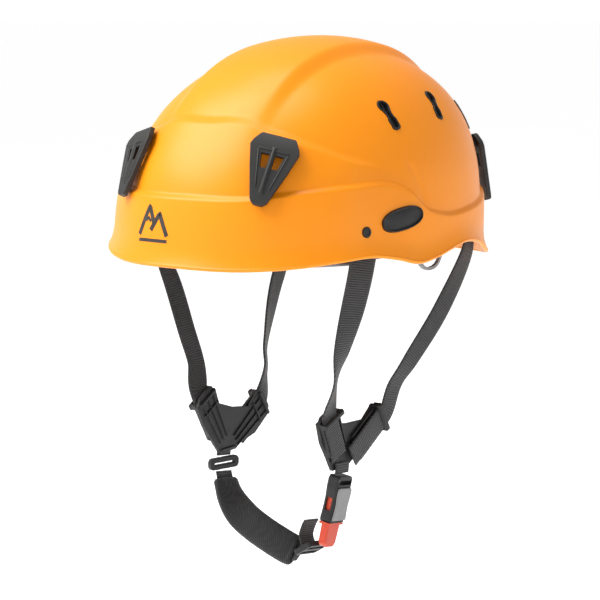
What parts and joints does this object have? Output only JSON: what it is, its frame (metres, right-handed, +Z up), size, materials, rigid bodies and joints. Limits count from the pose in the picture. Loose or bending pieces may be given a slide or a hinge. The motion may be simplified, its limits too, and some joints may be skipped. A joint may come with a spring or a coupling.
{
  "type": "climbing helmet",
  "caption": "Hard-shell climbing helmet with foam liner, size-adjusting headband, lamp-strap clips, side vents and a Y-strap chin harness with a side-release buckle.",
  "frame": {"origin": "centre of the wearer's head at the level of the front edge of the shell", "axes": "+Z up, -Y is the direction the wearer faces, +X is the wearer's left"},
  "size_m": [0.2226, 0.2778, 0.3446],
  "materials": {
    "shell_plastic": "glossy moulded ABS, orange-yellow",
    "black_plastic": "fine-grained moulded nylon, near black",
    "grey_plastic": "satin mid grey",
    "red_plastic": "semi-gloss orange-red",
    "liner_foam": "moulded expanded foam, dark grey",
    "padding_fabric": "black brushed knit",
    "webbing": "black ribbed polyester webbing",
    "screw_steel": "satin"
  },
  "bodies": {
    "helmet": {"brow_pad": "padding_fabric", "buckle_grip": "grey_plastic", "buckle_housing": "black_plastic", "buckle_strap": "webbing", "chin_strap": "webbing", "chin_strap_upper": "webbing", "crown_pad_centre": "padding_fabric", "crown_pad_left": "padding_fabric", "crown_pad_right": "padding_fabric", "divider_left": "black_plastic", "divider_right": "black_plastic", "foam_liner": "liner_foam", "hanger_front_left": "black_plastic", "hanger_front_right": "black_plastic", "hanger_side_left": "black_plastic", "hanger_side_right": "black_plastic", "headband_front": "black_plastic", "outer_shell": "shell_plastic", "shell_plug_left": "black_plastic", "shell_plug_right": "black_plastic", "slide_loop": "black_plastic", "strap_anchor_front_left": "black_plastic", "strap_anchor_front_right": "black_plastic", "strap_anchor_rear_left": "black_plastic", "strap_anchor_rear_right": "black_plastic", "strap_front_left": "webbing", "strap_front_right": "webbing", "strap_keeper_left": "grey_plastic", "strap_keeper_right": "grey_plastic", "strap_rear_left": "webbing", "strap_rear_right": "webbing", "temple_pivot_left": "grey_plastic", "temple_pivot_right": "grey_plastic", "vent_insert_front_left": "black_plastic", "vent_insert_front_right": "black_plastic", "vent_insert_middle_left": "black_plastic", "vent_insert_middle_right": "black_plastic", "vent_insert_rear_left": "black_plastic", "vent_insert_rear_right": "black_plastic"},
    "nape_cradle": {"rack_strap_left": "black_plastic", "rack_strap_right": "black_plastic"},
    "adjuster": {"adjuster_housing": "black_plastic", "adjuster_cover": "black_plastic", "nape_pad": "padding_fabric"},
    "adjuster_wheel": {"size_wheel": "black_plastic", "wheel_pinion": "grey_plastic", "wheel_screw": "screw_steel"},
    "chin_sleeve": {"chin_pad": "padding_fabric"},
    "plug": {"buckle_plug": "red_plastic", "ladder_lock": "black_plastic", "strap_tail": "webbing"},
    "prong_front": {"plug_prong_front": "red_plastic"},
    "prong_rear": {"plug_prong_rear": "red_plastic"},
    "cover_left": {"accessory_cover_left": "black_plastic"},
    "cover_right": {"accessory_cover_right": "black_plastic"},
    "clip_front_left": {"lamp_clip_front_left": "black_plastic"},
    "clip_front_right": {"lamp_clip_front_right": "black_plastic"},
    "clip_rear_left": {"lamp_clip_rear_left": "black_plastic"},
    "clip_rear_right": {"lamp_clip_rear_right": "black_plastic"}
  },
  "joints": [
    {"name": "nape_tilt", "type": "hinge", "parent": "helmet", "child": "nape_cradle", "pos_m": [0, 0.003, 0.012], "axis": [1, 0, 0], "range_deg": [-14, 4]},
    {"name": "adjuster_slide", "type": "slide", "parent": "nape_cradle", "child": "adjuster", "axis": [0, -1, 0], "range_m": [0, 0.012], "deforming": ["rack_strap_left", "rack_strap_right"]},
    {"name": "size_wheel_turn", "type": "hinge", "parent": "adjuster", "child": "adjuster_wheel", "pos_m": [0, 0.112, -0.006], "axis": [0, 1, 0], "range_deg": [0, 120]},
    {"name": "chin_pad_shift", "type": "hinge", "parent": "helmet", "child": "chin_sleeve", "pos_m": [0.02583, -0.02092, -0.11446], "axis": [-0.0201, -0.9827, 0.1843], "range_deg": [-3, 1], "deforming": ["chin_strap"]},
    {"name": "buckle_plug_slide", "type": "slide", "parent": "helmet", "child": "plug", "axis": [-0.14, -0.16, -0.9771], "range_m": [0, 0.014], "deforming": ["chin_strap"]},
    {"name": "prong_front_squeeze", "type": "hinge", "parent": "plug", "child": "prong_front", "pos_m": [0.04357, -0.0364, -0.17305], "axis": [-0.9899, 0, 0.1418], "range_deg": [0, 4.5], "stiffness_Nm_per_rad": 0.3},
    {"name": "prong_rear_squeeze", "type": "hinge", "parent": "plug", "child": "prong_rear", "pos_m": [0.04335, -0.02712, -0.17454], "axis": [0.9899, 0, -0.1418], "range_deg": [0, 4.5], "stiffness_Nm_per_rad": 0.3},
    {"name": "cover_left_pull", "type": "slide", "parent": "helmet", "child": "cover_left", "axis": [0.9711, -0.2233, 0.084], "range_m": [0, 0.01]},
    {"name": "cover_right_pull", "type": "slide", "parent": "helmet", "child": "cover_right", "axis": [-0.9711, -0.2233, 0.084], "range_m": [0, 0.01]},
    {"name": "clip_front_left_flex", "type": "hinge", "parent": "helmet", "child": "clip_front_left", "pos_m": [0.05031, -0.09774, 0.079], "axis": [-0.8938, -0.3862, 0.2282], "range_deg": [0, 12], "stiffness_Nm_per_rad": 0.6},
    {"name": "clip_front_right_flex", "type": "hinge", "parent": "helmet", "child": "clip_front_right", "pos_m": [-0.05031, -0.09774, 0.079], "axis": [-0.8938, 0.3862, -0.2282], "range_deg": [0, 12], "stiffness_Nm_per_rad": 0.6},
    {"name": "clip_rear_left_flex", "type": "hinge", "parent": "helmet", "child": "clip_rear_left", "pos_m": [0.06137, 0.10467, 0.07], "axis": [0.6834, -0.7198, 0.1219], "range_deg": [0, 12], "stiffness_Nm_per_rad": 0.6},
    {"name": "clip_rear_right_flex", "type": "hinge", "parent": "helmet", "child": "clip_rear_right", "pos_m": [-0.06137, 0.10467, 0.07], "axis": [0.6834, 0.7198, -0.1219], "range_deg": [0, 12], "stiffness_Nm_per_rad": 0.6}
  ],
  "couplings": [
    {"joint": "size_wheel_turn", "follows": "adjuster_slide", "rad_per_m": 170}
  ]
}
